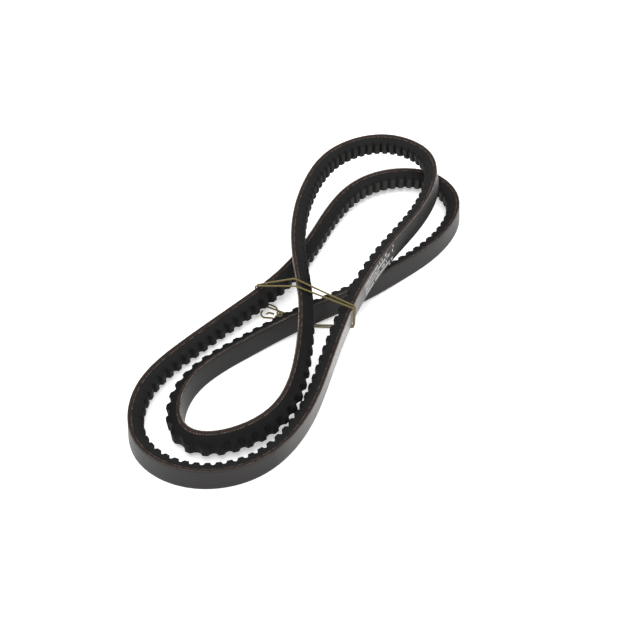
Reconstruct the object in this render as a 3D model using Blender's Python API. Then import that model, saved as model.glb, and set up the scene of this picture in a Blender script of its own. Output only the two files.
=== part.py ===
"""A raw-edge cogged V-belt, stored as a bundle: one endless belt folded into four loops
and tied at its waist with string.  It stands on one edge on the ground.

Metres, +Z up, long axis of the bundle along X, origin under the middle of its box.
The belt is built in layers, back fabric to cogs.  Each layer is cut where the bundle
flexes, so that each of the four loops is a rigid body hinged to the tied waist.
"""
import bmesh
import bpy
import math
import numpy as np

MM = 0.001

# ---- driving dimensions of the belt ----
BACK_WIDTH = 13.0 * MM
BELT_HEIGHT = 8.0 * MM
FLANK_ANGLE = math.radians(20.0)      # each side, 40 degrees included
COG_COUNT = 194
COG_DEPTH = 2.2 * MM
# half of a groove, as shares of the pitch from its middle and of the cogs' depth
GROOVE = ((0.06, 1.0), (0.15, 0.76), (0.235, 0.30), (0.28, 0.0))

# depth of each layer, measured from the back of the belt towards the cogs
LAYERS = {
    "back_fabric": (0.0 * MM, 0.6 * MM),
    "cushion_rubber": (0.9 * MM, 1.7 * MM),
    "tension_cord_layer": (2.0 * MM, 2.7 * MM),
}
COGGED_LAYER = "cogged_rubber"
COGGED_TOP = 3.0 * MM

# half of the gap left between two portions where the bundle flexes
FLEX_HALF_GAP = 1.2 * MM

# The lay of the belt: points on the middle of its back, in millimetres, an even distance
# apart along the belt.  The fourth number leans the edge towards the cogs, in degrees.
# It starts under the string on the right-hand strand.  Heading this way the cogs are
# always on the left.
ROUTE = [
    # up the right side of the raised loop, round its end and back over the waist
    (3.0, -20.0, 15.2, -1.0), (38.0, -19.5, 22.5, 3.0), (73.5, -21.5, 23.0, 7.0),
    (108.8, -18.4, 23.0, 10.0), (138.5, 0.2, 20.5, 12.0), (143.0, 34.0, 17.0, 7.0),
    (115.5, 55.0, 17.0, -3.0), (80.5, 55.0, 19.0, -3.0), (46.5, 44.5, 21.0, -1.0),
    (15.5, 27.0, 22.5, -2.0), (-12.8, 5.7, 21.5, -4.0),
    # down to the ground and round the inner loop, back side inwards
    (-43.5, -10.3, 15.0, -3.0), (-78.0, -13.8, 9.0, -6.0), (-102.7, 12.5, 6.5, -2.0),
    (-79.1, 30.4, 6.5, 8.0), (-43.8, 20.9, 6.8, 10.0), (-13.0, 5.5, 8.0, 8.0),
    # through the waist and round the loop that lies under the raised one
    (18.5, -12.0, 8.0, 9.0), (51.0, -25.5, 7.0, 9.0), (85.0, -35.5, 6.5, 6.0),
    (120.7, -30.2, 6.5, 6.0), (134.8, -0.6, 6.5, 3.0), (113.5, 28.5, 6.5, -4.0),
    (80.0, 37.0, 6.5, -1.0), (44.5, 34.0, 7.0, 3.0), (9.5, 33.0, 8.0, -1.0),
    # round the outer loop and back to the string
    (-25.5, 41.5, 7.0, 1.0), (-59.5, 51.0, 6.5, 4.0), (-94.5, 54.0, 6.5, 6.0),
    (-123.0, 34.5, 6.5, 8.0), (-124.0, 0.0, 6.5, 9.0), (-100.5, -26.5, 6.5, 4.0),
    (-66.0, -32.5, 7.0, 0.0), (-31.5, -26.0, 8.5, -1.0),
]
# moves the lay so that the origin is under the middle of the bundle's box
TO_ORIGIN = np.array((-9.0, -10.3, 0.14))

# Portions of the belt, in cogs counted from the start of the route.
PORTIONS = {
    "raised_loop": (1, 51),
    "waist_crossing_strand": (51, 57),
    "inner_loop": (57, 90),
    "waist_middle_strand": (90, 95),
    "ground_loop": (95, 141),
    "waist_left_strand": (141, 146),
    "outer_loop": (146, 190),
    "waist_right_strand": (190, 195),
}

# ---- string ----
STRING_RADIUS = 0.5 * MM
STRING_BEND = 0.9                     # mm cut from each corner where it is rounded
TURNS = [
    (-7.0, 23.6, 1.9), (-5.3, 25.6, 1.75), (-4.4, 29.5, 0.6),
    # first turn: up the left strand, over the crossing strand, down the right strand
    (-5.9, 36.9, 0.55), (-6.1, 37.0, 14.9), (-4.0, 13.6, 29.8), (0.9, -21.2, 21.9),
    (0.3, -21.4, 7.3), (-0.1, -9.0, 0.7), (-4.9, 0.0, 0.55), (-5.9, 21.0, 0.55),
    # second turn
    (-7.2, 37.3, 0.55), (-7.4, 37.4, 14.8), (-8.1, 10.4, 29.3), (-0.5, -21.4, 21.6),
    (-0.9, -21.6, 7.1), (-1.7, -9.3, 0.7), (-6.5, 0.4, 0.55), (-8.6, 17.0, 0.8),
]
KNOT_CENTRE = (-9.7, 20.9, 1.9)
KNOT_SCALE = 0.75 * MM
KNOT_POINTS = 48
CUT_END = [(-9.6, 24.3, 0.9), (-10.0, 27.4, 0.7), (-11.3, 28.0, 0.6)]
LOOP_END = [(-12.6, 23.2, 0.9), (-13.8, 26.2, 0.7), (-14.6, 28.0, 0.7),
            (-14.3, 29.6, 0.8), (-13.2, 30.8, 0.9), (-11.0, 31.2, 1.0)]

COLLECTION = "tied_cogged_v_belt"


def clear_scene():
    for item in list(bpy.data.objects):
        bpy.data.objects.remove(item, do_unlink=True)


def make_material(name, colour, roughness):
    material = bpy.data.materials.new(name)
    material.use_nodes = True
    shader = material.node_tree.nodes["Principled BSDF"]
    shader.inputs["Base Color"].default_value = (*colour, 1.0)
    shader.inputs["Roughness"].default_value = roughness
    material.diffuse_color = (*colour, 1.0)
    return material


def closed_spline(points, samples):
    """Smooth closed curve through the points: a periodic cubic with matched bends."""
    points = np.asarray(points, float)
    count = len(points)
    system = 4.0 * np.eye(count) + np.roll(np.eye(count), 1, 1) + np.roll(np.eye(count), -1, 1)
    slope = np.linalg.solve(system, 3.0 * (np.roll(points, -1, 0) - np.roll(points, 1, 0)))
    where = np.arange(samples) / samples * count
    index = where.astype(int)
    t = (where - index)[:, None]
    after = (index + 1) % count
    return (points[index] * (1 - 3 * t**2 + 2 * t**3) + points[after] * (3 * t**2 - 2 * t**3)
            + slope[index] * (t - 2 * t**2 + t**3) + slope[after] * (t**3 - t**2))


def unit(vectors):
    return vectors / np.linalg.norm(vectors, axis=1, keepdims=True)


def belt_stations():
    """One frame per cog groove: middle of the back, edge direction and inward direction."""
    fine = closed_spline(ROUTE, 6000)
    fine = np.vstack([fine, fine[:1]])
    run = np.concatenate([[0.0], np.cumsum(np.linalg.norm(np.diff(fine[:, :3], axis=0), axis=1))])
    even = np.arange(COG_COUNT) / COG_COUNT * run[-1]
    sampled = np.stack([np.interp(even, run, fine[:, column]) for column in range(4)], 1)
    middle = (sampled[:, :3] + TO_ORIGIN) * MM
    heading = unit(np.roll(middle, -1, 0) - np.roll(middle, 1, 0))
    up = np.array([0.0, 0.0, 1.0])
    upright = unit(up - (heading @ up)[:, None] * heading)
    sideways = np.cross(upright, heading)
    lean = np.radians(sampled[:, 3])[:, None]
    edge = np.cos(lean) * upright + np.sin(lean) * sideways
    inward = np.cross(edge, heading)
    return middle, edge, inward


STATIONS = belt_stations()


def at_cog(position):
    """Frame at any place along the belt, on the straight line between its stations."""
    index = math.floor(position)
    share = position - index
    return [(1 - share) * part[index % COG_COUNT] + share * part[(index + 1) % COG_COUNT]
            for part in STATIONS]


def section(position, outer, inner):
    """The four corners of a layer between two depths: the belt narrows with depth."""
    middle, edge, inward = at_cog(position)
    corners = []
    for depth, side in ((outer, 1), (inner, 1), (inner, -1), (outer, -1)):
        half = BACK_WIDTH / 2 - depth * math.tan(FLANK_ANGLE)
        corners.append(middle + inward * depth + edge * half * side)
    return corners


def loft(name, sections, material, collection):
    """A closed solid through a row of four-cornered sections, capped at both ends."""
    mesh = bmesh.new()
    rings = [[mesh.verts.new(corner) for corner in ring] for ring in sections]
    for ring, following in zip(rings, rings[1:]):
        for k in range(4):
            after = (k + 1) % 4
            mesh.faces.new((ring[k], ring[after], following[after], following[k]))
    mesh.faces.new(reversed(rings[0]))
    mesh.faces.new(rings[-1])
    bmesh.ops.recalc_face_normals(mesh, faces=mesh.faces)
    data = bpy.data.meshes.new(name)
    mesh.to_mesh(data)
    mesh.free()
    data.materials.append(material)
    item = bpy.data.objects.new(name, data)
    collection.objects.link(item)
    return item


def flat_layer(name, first, last, depths, material, collection):
    """A plain strip of the belt between two cogs."""
    gap = FLEX_HALF_GAP / pitch_length()
    ends = first + 0.5 + gap, last + 0.5 - gap
    places = [ends[0], *range(first + 1, last + 1), ends[1]]
    sections = [section(place, *depths) for place in places]
    return loft(name, sections, material, collection)


def cogged_layer(name, first, last, material, collection):
    """The compression rubber: deep at each cog's tip, shallow at each groove's root."""
    gap = FLEX_HALF_GAP / pitch_length()
    profile = [(first + 0.5 + gap, BELT_HEIGHT)]
    for groove in range(first + 1, last + 1):
        for share, cut in reversed(GROOVE):
            profile.append((groove - share, BELT_HEIGHT - cut * COG_DEPTH))
        for share, cut in GROOVE:
            profile.append((groove + share, BELT_HEIGHT - cut * COG_DEPTH))
    profile.append((last + 0.5 - gap, BELT_HEIGHT))
    sections = [section(place, COGGED_TOP, depth) for place, depth in profile]
    return loft(name, sections, material, collection)


def pitch_length():
    middle = STATIONS[0]
    return float(np.mean(np.linalg.norm(np.roll(middle, -1, 0) - middle, axis=1)))


def placed(points):
    return (np.asarray(points, float) + TO_ORIGIN) * MM


def rounded(points, cut):
    """Replace each inner corner of a route by three points on a small bend."""
    points = np.asarray(points, float)
    result = [points[0]]
    for before, corner, after in zip(points, points[1:], points[2:]):
        back = before - corner
        ahead = after - corner
        start = corner + back / np.linalg.norm(back) * min(cut, np.linalg.norm(back) / 3)
        end = corner + ahead / np.linalg.norm(ahead) * min(cut, np.linalg.norm(ahead) / 3)
        result += [start, (start + end + 2 * corner) / 4, end]
    result.append(points[-1])
    return result


def string_piece(name, points, closed, material, collection):
    """A round string along a route, with filled ends when it is open."""
    curve = bpy.data.curves.new(name, "CURVE")
    curve.dimensions = "3D"
    curve.bevel_depth = STRING_RADIUS
    curve.bevel_resolution = 2
    curve.use_fill_caps = not closed
    spline = curve.splines.new("POLY")
    spline.points.add(len(points) - 1)
    for point, place in zip(spline.points, points):
        point.co = (*place, 1.0)
    spline.use_cyclic_u = closed
    curve.materials.append(material)
    item = bpy.data.objects.new(name, curve)
    collection.objects.link(item)
    return item


def knot_points():
    """A round overhand knot with both ends pulled in, drawn as a three-lobed loop."""
    centre = placed([KNOT_CENTRE])[0]
    points = []
    for step in range(KNOT_POINTS):
        turn = 2 * math.pi * step / KNOT_POINTS
        across = math.sin(turn) + 2 * math.sin(2 * turn)
        along = math.cos(turn) - 2 * math.cos(2 * turn)
        height = -1.3 * math.sin(3 * turn)
        points.append(centre + KNOT_SCALE * np.array([across, along, height]))
    return points


def main():
    clear_scene()
    collection = bpy.data.collections.new(COLLECTION)
    bpy.context.scene.collection.children.link(collection)
    materials = {
        "back_fabric": make_material("back_fabric", (0.085, 0.088, 0.092), 0.62),
        "cushion_rubber": make_material("cushion_rubber", (0.070, 0.055, 0.047), 0.8),
        "tension_cord_layer": make_material("tension_cord", (0.42, 0.34, 0.25), 0.75),
        COGGED_LAYER: make_material("black_rubber", (0.018, 0.019, 0.021), 0.72),
        "string": make_material("string", (0.50, 0.41, 0.22), 0.85),
    }
    for portion, (first, last) in PORTIONS.items():
        for layer, depths in LAYERS.items():
            flat_layer(f"{portion}_{layer}", first, last, depths, materials[layer], collection)
        cogged_layer(f"{portion}_{COGGED_LAYER}", first, last, materials[COGGED_LAYER],
                     collection)
    string = materials["string"]
    turns = placed(rounded(TURNS, STRING_BEND))
    string_piece("tie_string_turns", turns, False, string, collection)
    string_piece("tie_string_knot", knot_points(), True, string, collection)
    cut_end = placed(rounded(CUT_END, STRING_BEND))
    string_piece("tie_string_cut_end", cut_end, False, string, collection)
    loop_end = placed(rounded(LOOP_END, STRING_BEND))
    string_piece("tie_string_loop_end", loop_end, False, string, collection)


main()
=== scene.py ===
"""Looks of the tied cogged V-belt: the belt's layers at full detail, the twisted string
that ties it, a pale floor and soft light.  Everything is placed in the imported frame."""
import math

import bmesh
import bpy
import numpy as np
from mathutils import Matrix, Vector


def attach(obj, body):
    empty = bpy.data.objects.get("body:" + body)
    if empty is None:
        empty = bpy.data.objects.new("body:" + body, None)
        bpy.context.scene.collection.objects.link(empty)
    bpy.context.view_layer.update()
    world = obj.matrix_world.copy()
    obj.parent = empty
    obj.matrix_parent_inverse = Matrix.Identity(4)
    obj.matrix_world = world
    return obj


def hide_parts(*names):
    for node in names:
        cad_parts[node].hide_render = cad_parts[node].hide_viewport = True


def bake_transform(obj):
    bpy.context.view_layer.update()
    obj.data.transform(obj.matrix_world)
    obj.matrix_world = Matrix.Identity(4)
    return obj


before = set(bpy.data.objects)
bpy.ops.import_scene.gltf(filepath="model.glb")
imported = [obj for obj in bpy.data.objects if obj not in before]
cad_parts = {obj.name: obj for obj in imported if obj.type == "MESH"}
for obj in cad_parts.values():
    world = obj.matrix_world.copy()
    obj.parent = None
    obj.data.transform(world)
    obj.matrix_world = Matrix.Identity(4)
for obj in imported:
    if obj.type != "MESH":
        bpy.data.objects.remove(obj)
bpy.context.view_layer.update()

MM = 0.001

# ---------------------------------------------------------------- the belt's dimensions
BACK_WIDTH = 13.0 * MM
BELT_HEIGHT = 8.0 * MM
FLANK_SLOPE = math.tan(math.radians(20.0))
COG_COUNT = 194
COG_DEPTH = 2.2 * MM
GROOVE_FLOOR = BELT_HEIGHT - COG_DEPTH

# depths of the layers from the back of the belt; the cogged rubber goes on to the cogs' edge
FABRIC = (0.0 * MM, 0.50 * MM)
CUSHION = (0.52 * MM, 1.58 * MM)
CORDS = (1.60 * MM, 2.38 * MM)
COGS_TOP = 2.40 * MM

# how round each layer's long edges are, and how many points it has across; how far in the
# middle point of a rounded edge lies, as a share; and the least sum of the flank marks of
# two neighbouring points that puts the face between them on the cut flank
FABRIC_EDGE = (0.12 * MM, 9)
THIN_LAYER_EDGE = (0.05 * MM, 2)
COGS_EDGE = (0.14 * MM, 5)
EDGE_MIDDLE = 0.3
FLANK_MARK = 1.2

# the lay of the belt, as in part.py: millimetres, and the lean of its edge in degrees
ROUTE = [
    (3.0, -20.0, 15.2, -1.0), (38.0, -19.5, 22.5, 3.0), (73.5, -21.5, 23.0, 7.0),
    (108.8, -18.4, 23.0, 10.0), (138.5, 0.2, 20.5, 12.0), (143.0, 34.0, 17.0, 7.0),
    (115.5, 55.0, 17.0, -3.0), (80.5, 55.0, 19.0, -3.0), (46.5, 44.5, 21.0, -1.0),
    (15.5, 27.0, 22.5, -2.0), (-12.8, 5.7, 21.5, -4.0),
    (-43.5, -10.3, 15.0, -3.0), (-78.0, -13.8, 9.0, -6.0), (-102.7, 12.5, 6.5, -2.0),
    (-79.1, 30.4, 6.5, 8.0), (-43.8, 20.9, 6.8, 10.0), (-13.0, 5.5, 8.0, 8.0),
    (18.5, -12.0, 8.0, 9.0), (51.0, -25.5, 7.0, 9.0), (85.0, -35.5, 6.5, 6.0),
    (120.7, -30.2, 6.5, 6.0), (134.8, -0.6, 6.5, 3.0), (113.5, 28.5, 6.5, -4.0),
    (80.0, 37.0, 6.5, -1.0), (44.5, 34.0, 7.0, 3.0), (9.5, 33.0, 8.0, -1.0),
    (-25.5, 41.5, 7.0, 1.0), (-59.5, 51.0, 6.5, 4.0), (-94.5, 54.0, 6.5, 6.0),
    (-123.0, 34.5, 6.5, 8.0), (-124.0, 0.0, 6.5, 9.0), (-100.5, -26.5, 6.5, 4.0),
    (-66.0, -32.5, 7.0, 0.0), (-31.5, -26.0, 8.5, -1.0),
]
TO_ORIGIN = np.array((-9.0, -10.3, 0.14))
FINE_SAMPLES = 24000
FRAMES_PER_COG = 24
RINGS_PER_COG = 6
SHARP_ANGLE = math.radians(38)

# the shape of the cogs: a round root, a steep wall and a rounded tip, and the points in each
# arc; a cog of stiffness 1 would keep its whole width where the belt bends
GROOVE_ROOT = 1.35 * MM
GROOVE_WALL = math.radians(68)
TIP_ROUND = 0.55 * MM
ROOT_POINTS = 6
TIP_POINTS = 5
COG_STIFFNESS = 0.75

# Each loop's piece runs from string to string, in cogs.  Its bend is where x, in metres,
# passes from the tied waist to the loop's own body.
WAIST = "tied_waist"
LOOPS = {
    "raised_loop": {"cogs": (-1.0, 54.5), "bend": (-0.007, 0.017),
                    "waist": "waist_crossing_strand"},
    "inner_loop": {"cogs": (54.5, 93.0), "bend": (-0.018, -0.033),
                   "waist": "waist_middle_strand"},
    "ground_loop": {"cogs": (93.0, 144.0), "bend": (-0.007, 0.017),
                    "waist": "waist_left_strand"},
    "outer_loop": {"cogs": (144.0, 193.0), "bend": (-0.018, -0.034),
                   "waist": "waist_right_strand"},
}

# ---------------------------------------------------------------- the string
# three plies that swell a little by chance; each ply's yarn pattern starts further along
PLY_RADIUS = 0.27 * MM
PLY_OFFSET = 0.24 * MM
PLY_COUNT = 3
PLY_SIDES = 7
PLY_SHIFT = 31.0
PLY_SWELL = 0.05
SWELLINGS = 40
TWIST_LENGTH = 2.6 * MM
STRING_STEP = 0.22 * MM
STRING_BEND = 0.9 * MM
BEND_POINTS = 7

# the string's route and the lay of its knot and ends, as in part.py, in millimetres
TURNS = [
    (-7.0, 23.6, 1.9), (-5.3, 25.6, 1.75), (-4.4, 29.5, 0.6),
    (-5.9, 36.9, 0.55), (-6.1, 37.0, 14.9), (-4.0, 13.6, 29.8), (0.9, -21.2, 21.9),
    (0.3, -21.4, 7.3), (-0.1, -9.0, 0.7), (-4.9, 0.0, 0.55), (-5.9, 21.0, 0.55),
    (-7.2, 37.3, 0.55), (-7.4, 37.4, 14.8), (-8.1, 10.4, 29.3), (-0.5, -21.4, 21.6),
    (-0.9, -21.6, 7.1), (-1.7, -9.3, 0.7), (-6.5, 0.4, 0.55), (-8.6, 17.0, 0.8),
]
KNOT_CENTRE = (-9.7, 20.9, 1.9)
KNOT_SCALE = 0.75 * MM
CUT_END = [(-9.6, 24.3, 0.9), (-10.0, 27.4, 0.7), (-11.3, 28.0, 0.6)]
LOOP_END = [(-12.6, 23.2, 0.9), (-13.8, 26.2, 0.7), (-14.6, 28.0, 0.7),
            (-14.3, 29.6, 0.8), (-13.2, 30.8, 0.9), (-11.0, 31.2, 1.0)]
KNOT_POINTS = 96

# loose fibres: the fuzz along the string and the brush at each cut end.  A reach is the
# shortest and the longest fibre, in millimetres.
FIBRE_RADIUS = 0.022 * MM
FIBRE_POINTS = 7
FIBRE_SIDES = 4
FIBRE_BOW = 0.35
FUZZ_COUNT = 150
FUZZ_MARGIN = 10
FUZZ_REACH = (0.6, 1.5)
BRUSH_COUNT = 22
BRUSH_SPREAD = 0.35
BRUSH_DEPTH = 0.4 * MM
BRUSH_WIDTH = 0.16 * MM
BRUSH_REACH = (0.9, 2.2)

# ---------------------------------------------------------------- marks on the belt
# Here and in the materials, places along, across and deep in the belt are in millimetres.
# The print: plain white bars in rows, which get sparser over its last stretch.
PRINT_START = 14.2
PRINT_END = 46.8
PRINT_FADE = 0.8
PRINT_SPARSE = 18.0
PRINT_HALF_WIDTH = 5.6
PRINT_SIDE_FADE = 0.15
PRINT_ROW = 2.8
PRINT_ROW_SHIFT = 0.41
PRINT_BAR = 1.2

# the rubbed remains of an older print, and the pale haze round the string, partly a smear of
# chalk and ink and partly painted glare
RUBBED_START = -44.0
RUBBED_END = -7.0
HAZE_START = -100.0
HAZE_FULL = -22.0
HAZE_FALL = -6.0
HAZE_END = 23.0
HAZE_SHARE = 0.40

# the stretches where the cog tips get painted light, the raised loop and the ground loop, and the
# stretch where the flanks are darkest with painted shade, the inner loop
RAISED_RUN = (-5.0, 335.0)
GROUND_RUN = (580.0, 896.0)
RUN_FADE = 20.0
INNER_START = (320.0, 350.0)
INNER_END = (570.0, 600.0)

# how deep in the belt the middle of the cords' cut ends lies
CORD_LINE = 1.98

# ---------------------------------------------------------------- the view
CAMERA_PLACE = (-0.2979, -0.1771, 0.37425)
CAMERA_AIM = (-0.0090, -0.0103, 0.00014)
CAMERA_LENS = 50.25
SENSOR_WIDTH = 36.0
ROOM_LIGHT = 0.85
OVERHEAD_PLACE = (0.1, 0.2, 1.3)
OVERHEAD_SIZE = 1.6
OVERHEAD_POWER = 18.0
FLOOR_REACH = 4.0


# ================================================================= curves and frames
def closed_spline(points, samples):
    """Smooth closed curve through the points: a periodic cubic with matched bends."""
    points = np.asarray(points, float)
    count = len(points)
    system = 4.0 * np.eye(count) + np.roll(np.eye(count), 1, 1) + np.roll(np.eye(count), -1, 1)
    slope = np.linalg.solve(system, 3.0 * (np.roll(points, -1, 0) - np.roll(points, 1, 0)))
    where = np.arange(samples) / samples * count
    index = where.astype(int)
    t = (where - index)[:, None]
    after = (index + 1) % count
    return (points[index] * (1 - 3 * t**2 + 2 * t**3) + points[after] * (3 * t**2 - 2 * t**3)
            + slope[index] * (t - 2 * t**2 + t**3) + slope[after] * (t**3 - t**2))


def unit(vectors):
    """The vectors at length one."""
    return vectors / np.linalg.norm(vectors, axis=-1, keepdims=True)


def belt_table():
    """Evenly spaced frames round the belt, its bend at each of them, and the cog pitch."""
    fine = closed_spline(ROUTE, FINE_SAMPLES)
    fine = np.vstack([fine, fine[:1]])
    run = np.concatenate([[0.0], np.cumsum(np.linalg.norm(np.diff(fine[:, :3], axis=0), axis=1))])
    count = COG_COUNT * FRAMES_PER_COG
    even = np.arange(count) / count * run[-1]
    sampled = np.stack([np.interp(even, run, fine[:, column]) for column in range(4)], 1)
    middle = (sampled[:, :3] + TO_ORIGIN) * MM
    heading = unit(np.roll(middle, -1, 0) - np.roll(middle, 1, 0))
    up = np.array([0.0, 0.0, 1.0])
    upright = unit(up - (heading @ up)[:, None] * heading)
    sideways = np.cross(upright, heading)
    lean = np.radians(sampled[:, 3])[:, None]
    edge = np.cos(lean) * upright + np.sin(lean) * sideways
    inward = np.cross(edge, heading)
    step = run[-1] * MM / count
    turning = (np.roll(heading, -1, 0) - np.roll(heading, 1, 0)) / (2 * step)
    bend = np.sum(turning * inward, axis=1)
    return middle, edge, inward, bend, run[-1] * MM / COG_COUNT


MIDDLE, EDGE, INWARD, BEND, PITCH = belt_table()


def at_cogs(table, cogs):
    """A table's value at places counted in cogs round the belt."""
    place = np.asarray(cogs, float) * FRAMES_PER_COG
    low = np.floor(place).astype(int)
    share = place - low
    if table.ndim == 2:
        share = share[:, None]
    return (1 - share) * table[low % len(table)] + share * table[(low + 1) % len(table)]


# ================================================================= meshes
def link(name, data):
    """An object of the scene with the mesh, lamp or camera given."""
    item = bpy.data.objects.new(name, data)
    bpy.context.scene.collection.objects.link(item)
    return item


def swept_piece(name, rings, place, flank, materials):
    """A closed body through rings of points, with flat ends.  Each point carries its place on
    the belt in millimetres (along, across, deep) and whether it is on a cut flank, where the
    second material shows."""
    count, around = rings.shape[:2]
    ring = np.arange(count - 1)[:, None] * around
    here = np.arange(around)[None, :]
    ahead = (here + 1) % around
    quads = np.stack([ring + here, ring + ahead, ring + around + ahead, ring + around + here], -1)
    first = list(range(around - 1, -1, -1))
    last = [(count - 1) * around + index for index in range(around)]
    mesh = bpy.data.meshes.new(name)
    mesh.from_pydata(rings.reshape(-1, 3).tolist(), [], quads.reshape(-1, 4).tolist() + [first, last])
    stored = mesh.attributes.new("place", "FLOAT_VECTOR", "POINT")
    stored.data.foreach_set("vector", place.reshape(-1).astype(np.float32))
    stored = mesh.attributes.new("flank", "FLOAT", "POINT")
    stored.data.foreach_set("value", flank.reshape(-1).astype(np.float32))
    work = bmesh.new()
    work.from_mesh(mesh)
    bmesh.ops.recalc_face_normals(work, faces=work.faces)
    work.to_mesh(mesh)
    work.free()
    mesh.shade_smooth()
    mesh.set_sharp_from_angle(angle=SHARP_ANGLE)
    for material in materials:
        mesh.materials.append(material)
    if len(materials) > 1:
        cut = (flank[0] + np.roll(flank[0], -1)) > FLANK_MARK
        kinds = np.concatenate([np.tile(cut, count - 1), [True, True]])
        mesh.polygons.foreach_set("material_index", kinds.astype(np.int32))
    return link(name, mesh)


def half_width(depth):
    """Half the belt's width at a depth from its back."""
    return BACK_WIDTH / 2 - depth * FLANK_SLOPE


def groove_outline():
    """Half a groove, from its middle to the middle of the cog tip: how far along, how deep."""
    wall = GROOVE_WALL
    points = []
    for turn in np.linspace(0, wall, ROOT_POINTS):
        points.append((GROOVE_ROOT * math.sin(turn), GROOVE_ROOT * (1 - math.cos(turn))))
    tip_low = COG_DEPTH - TIP_ROUND * (1 - math.cos(wall))
    run = points[-1][0] + (tip_low - points[-1][1]) / math.tan(wall)
    for turn in np.linspace(wall, 0, TIP_POINTS):
        points.append((run + TIP_ROUND * (math.sin(wall) - math.sin(turn)),
                       COG_DEPTH - TIP_ROUND * (1 - math.cos(turn))))
    points.append((PITCH / 2, COG_DEPTH))
    return np.array([(along, GROOVE_FLOOR + height) for along, height in points])


def cog_rings(start, end):
    """Places in cogs and depths that draw the cogs from one place to another.  A cog keeps most
    of its width where the belt bends, so the grooves close or open instead."""
    outline = groove_outline()
    places = []
    depths = []
    for half in range(round(2 * start), round(2 * end)):
        groove = (half + 1) // 2
        side = -1 if half % 2 else 1
        along, deep = (outline[::-1] if side < 0 else outline).T
        tip = groove + side * 0.5
        bend = float(at_cogs(BEND, [tip])[0])
        height = np.clip((deep - GROOVE_FLOOR) / COG_DEPTH, 0, 1)
        squeeze = 1 - COG_STIFFNESS * bend * deep * height
        from_tip = np.minimum((PITCH / 2 - along) / squeeze, PITCH / 2)
        reach = tip - side * from_tip / PITCH
        places.append(reach[:-1])
        depths.append(deep[:-1])
    places.append([end])
    depths.append([GROOVE_FLOOR if float(end).is_integer() else BELT_HEIGHT])
    return np.concatenate(places), np.concatenate(depths)


def layer_section(depths_low, depths_high, bevel, across_steps):
    """Closed section outline of a layer at each place: across and deep, both in metres, and
    how far each point is on the cut flank."""
    low = np.asarray(depths_low, float)[:, None]
    high = np.asarray(depths_high, float)[:, None]
    shares = np.linspace(-1, 1, across_steps)[None, :]
    inset = bevel * EDGE_MIDDLE
    back = half_width(low) - bevel
    face = half_width(high) - bevel
    back_edge = half_width(low + inset) - inset
    face_edge = half_width(high - inset) - inset
    right = [back_edge, half_width(low + bevel), half_width(high - bevel), face_edge]
    side = [low + inset, low + bevel, high - bevel, high - inset]
    marks = [0.5, 1, 1, 0.5]
    across = [back * shares, *right, -face * shares, *[-reach for reach in right[::-1]]]
    deep = [low + 0 * shares, *side, high + 0 * shares, *side[::-1]]
    flank = [0 * shares, *marks, 0 * shares, *marks]
    return [stacked(parts, len(low)) for parts in (across, deep, flank)]


def stacked(parts, rows):
    """Columns side by side, each repeated down all the rows where it has only one."""
    tables = [np.atleast_2d(part) for part in parts]
    return np.concatenate([np.broadcast_to(table, (rows, table.shape[1])) for table in tables], 1)


def belt_piece(name, places, low, high, bevel, across_steps, lap, materials):
    """One layer of the belt from place to place, with its outer and inner depths.  lap is the
    number of cogs taken off the stored place, so that neighbours share one measure."""
    across, deep, flank = layer_section(low, high, bevel, across_steps)
    middle = at_cogs(MIDDLE, places)[:, None]
    edge = at_cogs(EDGE, places)[:, None]
    inward = at_cogs(INWARD, places)[:, None]
    rings = middle + edge * across[..., None] + inward * deep[..., None]
    along = np.broadcast_to((np.asarray(places)[:, None] - lap) * PITCH, across.shape)
    place = np.stack([along, across, deep], -1) / MM
    return swept_piece(name, rings, place, flank, materials)


def even_places(start, end):
    """Evenly spaced places in cogs, for a layer that has no cogs."""
    return np.linspace(start, end, round((end - start) * RINGS_PER_COG) + 1)


def build_belt(materials):
    """The four layers of every loop, each a closed piece of its own, in place of the imported ones.
    """
    for loop, facts in LOOPS.items():
        start, end = facts["cogs"]
        lap = COG_COUNT if loop == "outer_loop" else 0
        places = even_places(start, end)
        cog_places, cog_depths = cog_rings(start, end)
        ones = np.ones(len(places))
        cog_ones = np.ones(len(cog_places))
        layers = {
            "back_fabric": (places, FABRIC[0] * ones, FABRIC[1] * ones, *FABRIC_EDGE),
            "cushion_rubber": (places, CUSHION[0] * ones, CUSHION[1] * ones, *THIN_LAYER_EDGE),
            "tension_cord_layer": (places, CORDS[0] * ones, CORDS[1] * ones, *THIN_LAYER_EDGE),
            "cogged_rubber": (cog_places, COGS_TOP * cog_ones, cog_depths, *COGS_EDGE),
        }
        for layer, (where, low, high, bevel, steps) in layers.items():
            piece = belt_piece(f"{loop}_{layer}_surface", where, low, high, bevel, steps, lap,
                               materials[layer])
            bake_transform(piece)
            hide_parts(f"{loop}_{layer}", f"{facts['waist']}_{layer}")


# ================================================================= the string
def placed(points):
    """Points of the lay, in millimetres, as places in the frame."""
    return (np.asarray(points, float) + TO_ORIGIN) * MM


def rounded(route):
    """A route placed in the frame, each of its inner corners replaced by a small bend."""
    points = placed(route)
    result = [points[0]]
    for before, corner, after in zip(points, points[1:], points[2:]):
        back = before - corner
        ahead = after - corner
        start = corner + unit(back) * min(STRING_BEND, np.linalg.norm(back) / 3)
        end = corner + unit(ahead) * min(STRING_BEND, np.linalg.norm(ahead) / 3)
        for t in np.linspace(0, 1, BEND_POINTS):
            result.append((1 - t)**2 * start + 2 * t * (1 - t) * corner + t**2 * end)
    result.append(points[-1])
    return np.array(result)


def even_line(points, closed=False):
    """The same line with evenly spaced points, and its length."""
    if closed:
        points = np.vstack([points, points[:1]])
    run = np.concatenate([[0.0], np.cumsum(np.linalg.norm(np.diff(points, axis=0), axis=1))])
    count = round(run[-1] / STRING_STEP)
    even = np.arange(count) / count * run[-1] if closed else np.linspace(0, run[-1], count + 1)
    return np.stack([np.interp(even, run, points[:, column]) for column in range(3)], 1), run[-1]


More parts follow.
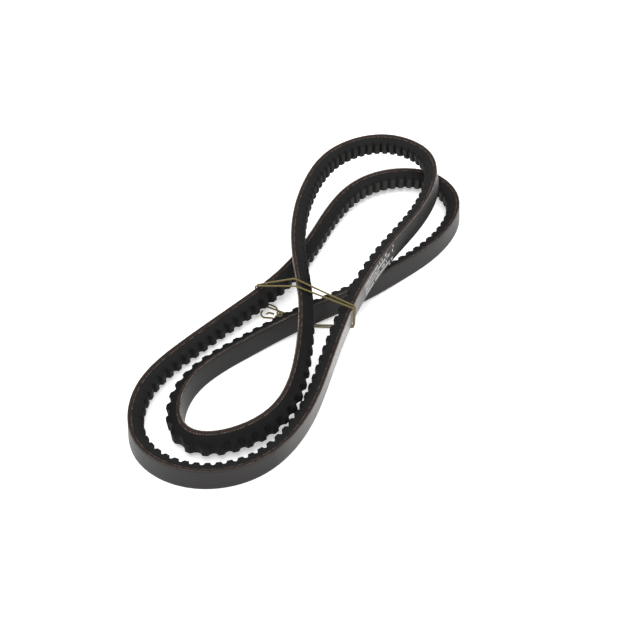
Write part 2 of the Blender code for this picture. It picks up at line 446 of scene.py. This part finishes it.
def carried_frames(line, closed=False):
    """Two directions across the line, carried along it without spin."""
    if closed:
        heading = unit(np.roll(line, -1, 0) - np.roll(line, 1, 0))
    else:
        heading = unit(np.gradient(line, axis=0))
    first = np.zeros_like(line)
    guess = np.array([0.0, 0.0, 1.0])
    if abs(heading[0] @ guess) > 0.9:
        guess = np.array([0.0, 1.0, 0.0])
    for index, ahead in enumerate(heading):
        guess = unit(guess - (guess @ ahead) * ahead)
        first[index] = guess
    second = np.cross(heading, first)
    if closed:
        guess = unit(guess - (guess @ heading[0]) * heading[0])
        missed = math.atan2(guess @ second[0], guess @ first[0])
        back = -missed * np.arange(len(line))[:, None] / len(line)
        first = first * np.cos(back) + second * np.sin(back)
        second = np.cross(heading, first)
    return first, second


def tube(line, radii, sides, closed=False):
    """Points and faces of a round tube along a line."""
    first, second = carried_frames(line, closed)
    turn = np.arange(sides) / sides * 2 * math.pi
    around = (first[:, None] * np.cos(turn)[None, :, None]
              + second[:, None] * np.sin(turn)[None, :, None])
    points = (line[:, None] + around * np.asarray(radii)[:, None, None]).reshape(-1, 3)
    count = len(line)
    rows = range(count if closed else count - 1)
    faces = []
    for row in rows:
        below = row * sides
        above = (row + 1) % count * sides
        for side in range(sides):
            after = (side + 1) % sides
            faces.append((below + side, below + after, above + after, above + side))
    if not closed:
        faces.append(tuple(range(sides - 1, -1, -1)))
        faces.append(tuple((count - 1) * sides + side for side in range(sides)))
    return points, faces


def joined_mesh(name, parts, along_parts, material):
    """One object from several closed bodies, with how far along each point is, in mm."""
    points = []
    faces = []
    along = []
    total = 0
    for (part_points, part_faces), part_along in zip(parts, along_parts):
        points.append(part_points)
        faces += [tuple(index + total for index in face) for face in part_faces]
        along.append(part_along)
        total += len(part_points)
    mesh = bpy.data.meshes.new(name)
    mesh.from_pydata(np.concatenate(points).tolist(), [], faces)
    stored = mesh.attributes.new("along", "FLOAT", "POINT")
    stored.data.foreach_set("value", np.concatenate(along).astype(np.float32))
    work = bmesh.new()
    work.from_mesh(mesh)
    bmesh.ops.recalc_face_normals(work, faces=work.faces)
    work.to_mesh(mesh)
    work.free()
    mesh.shade_smooth()
    mesh.materials.append(material)
    return link(name, mesh)


def twisted_string(name, route, material, closed=False):
    """Plies laid round each other along a route: a real twisted string."""
    line, length = even_line(route, closed)
    first, second = carried_frames(line, closed)
    count = len(line)
    turns = round(length / TWIST_LENGTH)
    share = np.arange(count) / (count if closed else count - 1)
    along = share * length
    chance = np.random.default_rng(len(name) * 7 + count)
    swell = 1 + PLY_SWELL * np.interp(along, np.linspace(0, length, SWELLINGS),
                                      chance.normal(size=SWELLINGS))
    parts = []
    alongs = []
    for ply in range(PLY_COUNT):
        angle = 2 * math.pi * (share * turns + ply / PLY_COUNT)
        offset = (first * np.cos(angle)[:, None] + second * np.sin(angle)[:, None]) * PLY_OFFSET
        parts.append(tube(line + offset, PLY_RADIUS * swell, PLY_SIDES, closed))
        alongs.append(np.repeat(along / MM + PLY_SHIFT * ply, PLY_SIDES))
    return joined_mesh(name, parts, alongs, material)


def knot_line():
    """A round overhand knot with both ends pulled in, drawn as a three-lobed loop."""
    turn = np.arange(KNOT_POINTS) / KNOT_POINTS * 2 * math.pi
    lobes = np.stack([np.sin(turn) + 2 * np.sin(2 * turn), np.cos(turn) - 2 * np.cos(2 * turn),
                      -1.3 * np.sin(3 * turn)], 1)
    return placed([KNOT_CENTRE]) + KNOT_SCALE * lobes


def loose_fibres(material):
    """Short fibres that stand off the string, and the brushes at its two cut ends."""
    chance = np.random.default_rng(11)
    parts = []
    alongs = []
    turns, _ = even_line(rounded(TURNS))

    def hair(root, way, reach):
        """One tapering fibre, bowed by chance and kept above the ground."""
        bow = unit(chance.normal(size=3)) * reach * FIBRE_BOW
        t = np.linspace(0, 1, FIBRE_POINTS)[:, None]
        line = root + way * reach * t + bow * t**2
        line[:, 2] = np.maximum(line[:, 2], FIBRE_RADIUS * 1.5)
        parts.append(tube(line, FIBRE_RADIUS * np.linspace(1, 0.5, FIBRE_POINTS), FIBRE_SIDES))
        alongs.append(np.full(FIBRE_POINTS * FIBRE_SIDES, chance.uniform(0, 50)))

    roots = chance.choice(len(turns) - 2 * FUZZ_MARGIN, FUZZ_COUNT, replace=False) + FUZZ_MARGIN
    for index in roots:
        ahead = unit(turns[index + 1] - turns[index])
        out = chance.normal(size=3)
        out = unit(out - (out @ ahead) * ahead)
        way = unit(out * 0.5 + ahead * chance.choice([-1, 1]))
        hair(turns[index] + out * PLY_RADIUS, way, chance.uniform(*FUZZ_REACH) * MM)
    for tail in (rounded(CUT_END), rounded(LOOP_END)):
        ahead = unit(tail[-1] - tail[-2])
        for _ in range(BRUSH_COUNT):
            way = unit(ahead + chance.normal(size=3) * BRUSH_SPREAD)
            root = tail[-1] - ahead * BRUSH_DEPTH + chance.normal(size=3) * BRUSH_WIDTH
            hair(root, way, chance.uniform(*BRUSH_REACH) * MM)
    return joined_mesh("tie_string_fibres", parts, alongs, material)


def build_string(material):
    """The string's turns, knot and two ends, and its loose fibres, all on the tied waist."""
    routes = {
        "tie_string_turns": rounded(TURNS),
        "tie_string_cut_end": rounded(CUT_END),
        "tie_string_loop_end": rounded(LOOP_END),
        "tie_string_knot": knot_line(),
    }
    for node, route in routes.items():
        piece = twisted_string(node + "_twist", route, material, closed=node == "tie_string_knot")
        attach(piece, WAIST)
        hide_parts(node)
    fibres = loose_fibres(material)
    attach(fibres, WAIST)


# ================================================================= materials
class Finish:
    """A Principled material and short calls for the nodes that feed it."""

    def __init__(self, name, **sockets):
        self.material = bpy.data.materials.new(name)
        self.material.use_nodes = True
        self.tree = self.material.node_tree
        self.shader = self.tree.nodes["Principled BSDF"]
        for socket, value in sockets.items():
            self.shader.inputs[socket.replace("_", " ")].default_value = value

    def node(self, kind, inputs=(), **settings):
        """A node with its settings, and values or links for its inputs in order or by name."""
        made = self.tree.nodes.new(kind)
        for setting, value in settings.items():
            setattr(made, setting, value)
        pairs = inputs.items() if isinstance(inputs, dict) else enumerate(inputs)
        for key, value in pairs:
            if isinstance(value, bpy.types.NodeSocket):
                self.tree.links.new(value, made.inputs[key])
            else:
                made.inputs[key].default_value = value
        return made

    def stored(self, name):
        """What the mesh stores at each point: its place in the belt, or a number."""
        made = self.node("ShaderNodeAttribute", attribute_name=name)
        return made.outputs["Vector" if name == "place" else "Fac"]

    def split(self, vector):
        return self.node("ShaderNodeSeparateXYZ", [vector]).outputs

    def joined(self, *values):
        return self.node("ShaderNodeCombineXYZ", values).outputs[0]

    def math(self, operation, *values):
        return self.node("ShaderNodeMath", values, operation=operation).outputs[0]

    def times(self, *values):
        """The product of two or more values."""
        product = values[0]
        for value in values[1:]:
            product = self.math("MULTIPLY", product, value)
        return product

    def blended(self, first, first_share, second, second_share):
        """The sum of two values, each times its share."""
        return self.math("ADD", self.times(first, first_share), self.times(second, second_share))

    def stretched(self, vector, *factors):
        return self.node("ShaderNodeVectorMath", [vector, factors], operation="MULTIPLY").outputs[0]

    def noise(self, vector, scale, detail=3.0, rough=0.5):
        made = self.node("ShaderNodeTexNoise", {"Vector": vector, "Scale": scale,
                                                "Detail": detail, "Roughness": rough})
        return made.outputs["Fac"]

    def cells(self, vector):
        """Distance from the middle of the nearest chance cell."""
        made = self.node("ShaderNodeTexVoronoi", {"Vector": vector, "Scale": 1.0}, feature="F1")
        return made.outputs["Distance"]

    def ramp(self, value, low, high, to_low=0.0, to_high=1.0):
        """A straight change from to_low at low to to_high at high, level beyond them."""
        return self.node("ShaderNodeMapRange", [value, low, high, to_low, to_high]).outputs[0]

    def between(self, value, start, end, fade):
        """1 from start to end and 0 outside, with soft edges inside them."""
        return self.times(self.ramp(value, start, start + fade), self.ramp(value, end, end - fade))

    def mixed(self, share, first, second):
        made = self.node("ShaderNodeMix", {0: share, 6: first, 7: second}, data_type="RGBA")
        return made.outputs[2]

    def raised(self, height, depth, strength=1.0):
        """Fine relief of the given depth, in metres."""
        inputs = {"Height": height, "Distance": depth, "Strength": strength}
        return self.node("ShaderNodeBump", inputs).outputs[0]

    def feed(self, **links):
        """Link the values to the shader's sockets, and give the finished material."""
        for socket, link_from in links.items():
            self.tree.links.new(link_from, self.shader.inputs[socket.replace("_", " ")])
        return self.material


def grey(level, warm=0.0):
    """A grey that leans to brown by the share given."""
    return (level * (1 + warm), level, level * (1 - warm), 1.0)


def fabric_face_finish():
    """Rubbered woven fabric: a fine bias weave, rubbed streaks and a worn white print."""
    finish = Finish("back_fabric", Specular_IOR_Level=0.22, Specular_Tint=(1.0, 0.95, 0.96, 1.0))
    place = finish.stored("place")
    along, across, _ = finish.split(place)
    warp = finish.times(along, 6.6)
    weft = finish.times(across, 9.4)
    weave = finish.times(finish.math("SINE", finish.math("ADD", warp, weft)),
                         finish.math("SINE", finish.math("SUBTRACT", warp, weft)))
    streaks = finish.noise(finish.stretched(place, 0.05, 1.1, 1.0), 1.0, 4.0, 0.6)
    clouds = finish.noise(finish.stretched(place, 0.08, 0.12, 0.1), 1.0, 3.0)
    grain = finish.noise(place, 5.0, 4.0, 0.7)
    tone = finish.math("ADD", finish.blended(streaks, 0.45, clouds, 0.35), finish.times(grain, 0.20))
    base = finish.mixed(finish.ramp(tone, 0.35, 0.65), grey(0.006, 0.05), grey(0.015, 0.06))
    base = finish.mixed(finish.ramp(weave, -1.0, 1.0, 0.0, 0.25), base, grey(0.030, 0.06))
    # Painted glare: the pale haze round the string is partly chalk and ink, partly a painted glare on
    # the back.
    base = finish.mixed(chalk_and_painted_glare(finish, place, along), base, grey(0.62, 0.04))
    white = finish.math("MAXIMUM", printed_bars(finish, place, along, across),
                        rubbed_print(finish, place, along, across))
    base = finish.mixed(white, base, grey(0.70, 0.01))
    rough = finish.math("ADD", finish.ramp(tone, 0.3, 0.7, 0.34, 0.50), finish.times(white, 0.2))
    normal = finish.raised(finish.blended(weave, 0.5, grain, 0.7), 0.03 * MM, 0.45)
    return finish.feed(Base_Color=base, Roughness=rough, Normal=normal)


def printed_bars(finish, place, along, across):
    """How much white ink there is: rows of plain upright bars of chance width, worn through."""
    reach = finish.between(along, PRINT_START, PRINT_END, PRINT_FADE)
    inside = finish.ramp(finish.math("ABSOLUTE", across), PRINT_HALF_WIDTH,
                         PRINT_HALF_WIDTH - PRINT_SIDE_FADE)
    rows = finish.math("DIVIDE", finish.math("ADD", across, PRINT_HALF_WIDTH), PRINT_ROW)
    row = finish.math("FLOOR", rows)
    row_mask = finish.between(finish.math("FRACT", rows), 0.08, 0.86, 0.06)
    shifted = finish.math("ADD", along, finish.times(row, PRINT_ROW_SHIFT))
    bars = finish.math("DIVIDE", shifted, PRINT_BAR)
    cell = finish.joined(finish.math("FLOOR", bars), row, 3.0)
    chance = finish.node("ShaderNodeTexWhiteNoise", [cell]).outputs["Value"]
    width = finish.ramp(chance, 0.0, 1.0, 0.30, 0.58)
    past_bar = finish.math("SUBTRACT", finish.math("FRACT", bars), width)
    bar_mask = finish.ramp(past_bar, 0.05, -0.05)
    missing = finish.ramp(along, PRINT_END - PRINT_SPARSE, PRINT_END, 0.05, 0.58)
    printed = finish.math("GREATER_THAN", chance, missing)
    worn = finish.ramp(finish.noise(place, 1.6, 5.0, 0.75), 0.36, 0.54, 0.25, 1.0)
    return finish.times(row_mask, bar_mask, printed, worn, reach, inside)


def chalk_and_painted_glare(finish, place, along):
    """A pale smear over the back where the string holds the belt: partly chalk and ink, partly
    painted glare.
    """
    reach = finish.times(finish.ramp(along, HAZE_START, HAZE_FULL, 0.0, HAZE_SHARE),
                         finish.ramp(along, HAZE_END, HAZE_FALL))
    smear = finish.noise(finish.stretched(place, 0.25, 0.9, 1.0), 1.0, 4.0, 0.6)
    return finish.times(reach, finish.ramp(smear, 0.3, 0.7, 0.75, 1.1))


def rubbed_print(finish, place, along, across):
    """The faint remains of an older print, rubbed to a white haze."""
    reach = finish.times(finish.ramp(along, RUBBED_END, RUBBED_END - 5.0),
                         finish.ramp(along, RUBBED_START, RUBBED_START + 9.0))
    rubbed = finish.noise(finish.stretched(place, 1.6, 0.8, 1.0), 1.4, 6.0, 0.8)
    patches = finish.ramp(rubbed, 0.48, 0.60, 0.0, 0.6)
    inside = finish.ramp(finish.math("ABSOLUTE", across), 6.2, 4.6)
    return finish.times(reach, inside, patches)


def fabric_edge_finish():
    """The fabric's cut edge: bare yarn ends between dark rubber."""
    finish = Finish("back_fabric_cut_edge", Specular_IOR_Level=0.2)
    place = finish.stored("place")
    along, _, deep = finish.split(place)
    yarn = finish.noise(finish.stretched(place, 2.6, 0.3, 1.4), 1.0, 2.0)
    dusty = finish.noise(finish.stretched(place, 0.10, 0.1, 0.3), 1.0, 3.0)
    pulled = finish.noise(finish.stretched(place, 0.8, 0.1, 0.1), 1.0, 2.0)
    pale = finish.times(finish.ramp(dusty, 0.35, 0.65, 0.4, 1.0),
                        finish.ramp(along, -60.0, 0.0, 0.25, 1.0))
    tan = finish.mixed(pale, (0.060, 0.044, 0.037, 1.0), (0.280, 0.230, 0.200, 1.0))
    bare = finish.times(finish.ramp(yarn, 0.30, 0.50), finish.ramp(deep, 0.56, 0.40),
                        finish.ramp(pulled, 0.36, 0.58, 0.35, 1.0))
    base = finish.mixed(bare, (0.018, 0.012, 0.010, 1.0), tan)
    rough = finish.ramp(yarn, 0.3, 0.7, 0.7, 0.9)
    return finish.feed(Base_Color=base, Roughness=rough, Normal=finish.raised(yarn, 0.08 * MM))


def cushion_finish():
    """Brown cushion rubber with short light fibres that lie across the belt."""
    finish = Finish("cushion_rubber", Specular_IOR_Level=0.15)
    place = finish.stored("place")
    specks = finish.ramp(finish.cells(finish.stretched(place, 1.5, 0.4, 2.6)), 0.24, 0.10)
    lumps = finish.noise(finish.stretched(place, 0.5, 1.0, 1.6), 1.0, 4.0, 0.6)
    base = finish.mixed(finish.ramp(lumps, 0.35, 0.65), (0.012, 0.008, 0.007, 1.0),
                        (0.026, 0.017, 0.014, 1.0))
    base = finish.mixed(finish.times(specks, 0.5), base, (0.14, 0.10, 0.075, 1.0))
    rough = finish.ramp(lumps, 0.3, 0.7, 0.6, 0.78)
    normal = finish.raised(finish.math("ADD", lumps, finish.times(specks, 0.6)), 0.06 * MM)
    return finish.feed(Base_Color=base, Roughness=rough, Normal=normal)


def tension_cord_finish():
    """The cord line: twisted tan cord cut open in dashes, set in brown rubber."""
    finish = Finish("tension_cord", Specular_IOR_Level=0.15)
    place = finish.stored("place")
    along, _, deep = finish.split(place)
    twist = finish.ramp(finish.math("SINE", finish.blended(along, 4.2, deep, 3.0)), -0.3, 0.6)
    from_line = finish.math("ABSOLUTE", finish.math("SUBTRACT", deep, CORD_LINE))
    cord = finish.ramp(from_line, 0.36, 0.24)
    torn = finish.noise(finish.stretched(place, 0.45, 0.2, 0.6), 1.0, 3.0)
    show = finish.times(finish.ramp(twist, 0.0, 1.0, 0.25, 1.0), cord, finish.ramp(torn, 0.42, 0.60))
    lumps = finish.noise(finish.stretched(place, 0.8, 1.0, 1.6), 1.0, 4.0, 0.6)
    base = finish.mixed(finish.ramp(lumps, 0.35, 0.65), (0.009, 0.0065, 0.006, 1.0),
                        (0.026, 0.017, 0.014, 1.0))
    base = finish.mixed(finish.times(show, 0.9), base, (0.120, 0.088, 0.074, 1.0))
    strands = finish.times(cord, finish.ramp(twist, 0.0, 1.0, 0.6, 1.0))
    normal = finish.raised(finish.math("ADD", strands, lumps), 0.08 * MM)
    rough = finish.ramp(show, 0.0, 1.0, 0.7, 0.85)
    return finish.feed(Base_Color=base, Roughness=rough, Normal=normal)


def ground_flank_finish():
    """Black rubber ground to an angle: fine lines along the belt and cut fibre ends.  It is
    darkest round the inner loop: painted shade, where the outer loop shades it."""
    finish = Finish("black_rubber_ground", Specular_IOR_Level=0.09)
    place = finish.stored("place")
    flank = finish.stored("flank")
    along, _, deep = finish.split(place)
    ground = finish.noise(finish.stretched(place, 0.35, 1.0, 6.0), 1.0, 4.0, 0.65)
    clouds = finish.noise(finish.stretched(place, 0.06, 0.2, 0.25), 1.0, 3.0)
    specks = finish.ramp(finish.cells(finish.stretched(place, 2.2, 1.0, 3.2)), 0.13, 0.05)
    tone = finish.blended(ground, 0.6, clouds, 0.4)
    base = finish.mixed(finish.ramp(tone, 0.36, 0.64), (0.0026, 0.0025, 0.0030, 1.0),
                        (0.0076, 0.0074, 0.0082, 1.0))
    # Painted shade: the flanks are drawn a little darker round the inner loop, which the outer loop
    # shades.
    outside_painted_shade = finish.math("MAXIMUM", finish.ramp(along, INNER_START[1], INNER_START[0]),
                         finish.ramp(along, INNER_END[0], INNER_END[1]))
    base = finish.mixed(finish.times(outside_painted_shade, 0.07), base, grey(0.075, 0.02))
    base = finish.mixed(finish.times(specks, 0.28), base, grey(0.075, 0.1))
    rim = finish.times(finish.ramp(flank, 0.98, 0.5), finish.ramp(deep, 4.6, 6.0))
    base = finish.mixed(finish.times(rim, 0.7), base, grey(0.030, 0.05))
    rough = finish.ramp(ground, 0.3, 0.7, 0.60, 0.80)
    normal = finish.raised(ground, 0.06 * MM, 0.7)
    return finish.feed(Base_Color=base, Roughness=rough, Normal=normal)


def moulded_cog_finish():
    """Satin moulded rubber of the cogs: painted light on the tips of the raised loop and the ground
    loop, which catch more light than the shaded grooves, and worn, paler rims everywhere."""
    finish = Finish("black_rubber", Specular_IOR_Level=0.08)
    place = finish.stored("place")
    flank = finish.stored("flank")
    along, _, deep = finish.split(place)
    moulded = finish.noise(place, 1.1, 5.0, 0.6)
    wear_and_light_mottle = finish.noise(finish.stretched(place, 0.25, 0.5, 0.5), 1.0, 4.0, 0.7)
    base = finish.mixed(finish.ramp(moulded, 0.35, 0.65), (0.0122, 0.0120, 0.0118, 1.0),
                        (0.0190, 0.0186, 0.0181, 1.0))
    # Painted light: the cog tips of the raised and ground loops are drawn lighter for the light they
    # catch, above the shaded grooves.
    painted_light_loops = finish.math("MAXIMUM", finish.between(along, *RAISED_RUN, RUN_FADE),
                           finish.between(along, *GROUND_RUN, RUN_FADE))
    painted_tip_light = finish.times(painted_light_loops, finish.ramp(deep, 6.3, 7.6, 0.15, 1.0),
                          finish.ramp(wear_and_light_mottle, 0.3, 0.7, 0.5, 1.0))
    base = finish.mixed(painted_tip_light, base, (0.0480, 0.0460, 0.0440, 1.0))
    worn = finish.times(finish.ramp(deep, 7.4, 8.0), finish.ramp(wear_and_light_mottle, 0.42, 0.66, 0.1, 0.5))
    worn = finish.math("MAXIMUM", worn, finish.times(flank, 0.4))
    base = finish.mixed(worn, base, (0.026, 0.025, 0.023, 1.0))
    rough = finish.ramp(moulded, 0.3, 0.7, 0.54, 0.70)
    normal = finish.raised(moulded, 0.07 * MM, 0.6)
    return finish.feed(Base_Color=base, Roughness=rough, Normal=normal)


def string_finish():
    """Dry tan string of fine yarn, in lighter and darker stretches."""
    finish = Finish("string", Specular_IOR_Level=0.25, Sheen_Weight=0.25, Sheen_Roughness=0.5)
    along = finish.stored("along")
    where = finish.node("ShaderNodeTexCoord").outputs["Object"]
    yarn = finish.noise(finish.joined(along, finish.times(along, 0.37), 0.0), 2.2, 5.0, 0.7)
    fibre = finish.noise(where, 5200.0, 3.0, 0.6)
    tone = finish.blended(yarn, 0.6, fibre, 0.4)
    base = finish.mixed(finish.ramp(tone, 0.36, 0.64), (0.085, 0.064, 0.015, 1.0),
                        (0.215, 0.168, 0.047, 1.0))
    normal = finish.raised(fibre, 0.05 * MM, 0.6)
    rough = finish.ramp(tone, 0.3, 0.7, 0.70, 0.88)
    return finish.feed(Base_Color=base, Roughness=rough, Normal=normal)


def floor_finish():
    """Plain pale paper on a softly lit table."""
    finish = Finish("floor_paper", Roughness=0.9, Specular_IOR_Level=0.2, Emission_Strength=0.4,
                    Emission_Color=grey(1.0))
    where = finish.node("ShaderNodeTexCoord").outputs["Object"]
    base = finish.mixed(finish.noise(where, 9.0, 2.0), grey(0.93), grey(0.95))
    return finish.feed(Base_Color=base)


# ================================================================= floor, light and view
def build_stage():
    """The floor that the belt lies on."""
    mesh = bpy.data.meshes.new("floor")
    reach = FLOOR_REACH
    mesh.from_pydata([(-reach, -reach, 0), (reach, -reach, 0), (reach, reach, 0), (-reach, reach, 0)],
                     [], [(0, 1, 2, 3)])
    floor = link("floor", mesh)
    mesh.materials.append(floor_finish())


def aimed(name, data, place, aim):
    """A lamp or camera at a place, turned to look at another."""
    item = link(name, data)
    item.location = place
    item.rotation_euler = (Vector(aim) - Vector(place)).to_track_quat("-Z", "Y").to_euler()
    return item


def build_light():
    """An even white room and one large soft panel overhead."""
    world = bpy.data.worlds.new("soft_room")
    world.use_nodes = True
    world.node_tree.nodes["Background"].inputs["Color"].default_value = (1.0, 1.0, 1.0, 1.0)
    world.node_tree.nodes["Background"].inputs["Strength"].default_value = ROOM_LIGHT
    bpy.context.scene.world = world
    panel = bpy.data.lights.new("overhead_panel", "AREA")
    panel.shape = "SQUARE"
    panel.size = OVERHEAD_SIZE
    panel.energy = OVERHEAD_POWER
    aimed("overhead_panel", panel, OVERHEAD_PLACE, (0, 0, 0))
    bpy.context.scene.view_settings.view_transform = "Standard"


def build_camera():
    """The view of the belt from above its lower left end."""
    camera = bpy.data.cameras.new("view")
    camera.lens = CAMERA_LENS
    camera.sensor_width = SENSOR_WIDTH
    bpy.context.scene.camera = aimed("view", camera, CAMERA_PLACE, CAMERA_AIM)


build_camera()
build_belt({"back_fabric": [fabric_face_finish(), fabric_edge_finish()],
            "cushion_rubber": [cushion_finish()],
            "tension_cord_layer": [tension_cord_finish()],
            "cogged_rubber": [moulded_cog_finish(), ground_flank_finish()]})
build_string(string_finish())
build_stage()
build_light()

bpy.context.view_layer.update()
